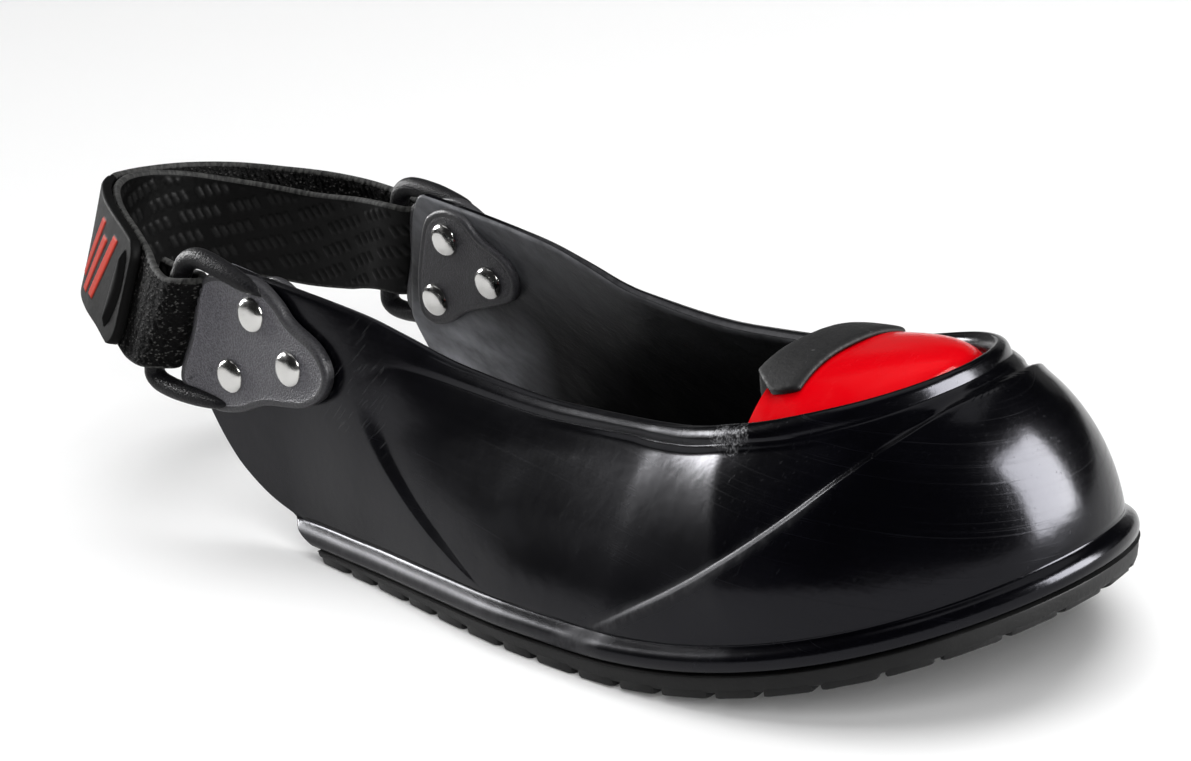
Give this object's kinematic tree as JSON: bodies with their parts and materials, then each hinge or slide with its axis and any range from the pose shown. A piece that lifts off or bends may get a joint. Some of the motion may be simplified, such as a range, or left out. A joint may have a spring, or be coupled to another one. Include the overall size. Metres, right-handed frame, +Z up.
{
  "type": "safety toe overshoe",
  "caption": "Rubber forefoot overshoe with a hard red toe cap inside the toe, an open heel, riveted buckle plates and a heel strap with a pull tab.",
  "frame": {"origin": "on the floor, on the middle of a flat tread bar under the sole's flat stretch", "axes": "+X towards the toe, +Y towards the wearer's left, +Z up; the pull tab is on the -Y side"},
  "size_m": [0.3335, 0.1178, 0.0873],
  "materials": {
    "moulded_rubber": "satin moulded black rubber",
    "sole_rubber": "matte black tread rubber",
    "red_cap": "glossy red coating",
    "edging_rubber": "matte black soft rubber",
    "grained_nylon": "fine grained black nylon",
    "polished_steel": "polished",
    "strap_band": "woven loop face, rubber coated back",
    "tab_rubber": "satin soft rubber"
  },
  "bodies": {
    "root": {"upper": "moulded_rubber", "outsole": "sole_rubber", "toe_cap": "red_cap", "cap_edging": "edging_rubber", "buckle_plate_right": "grained_nylon", "buckle_plate_left": "grained_nylon", "backing_plate_right": "grained_nylon", "backing_plate_left": "grained_nylon", "rivet_right_1": "polished_steel", "rivet_right_2": "polished_steel", "rivet_right_3": "polished_steel", "rivet_left_1": "polished_steel", "rivet_left_2": "polished_steel", "rivet_left_3": "polished_steel", "heel_strap": "strap_band", "pull_tab": "tab_rubber"}
  },
  "joints": []
}
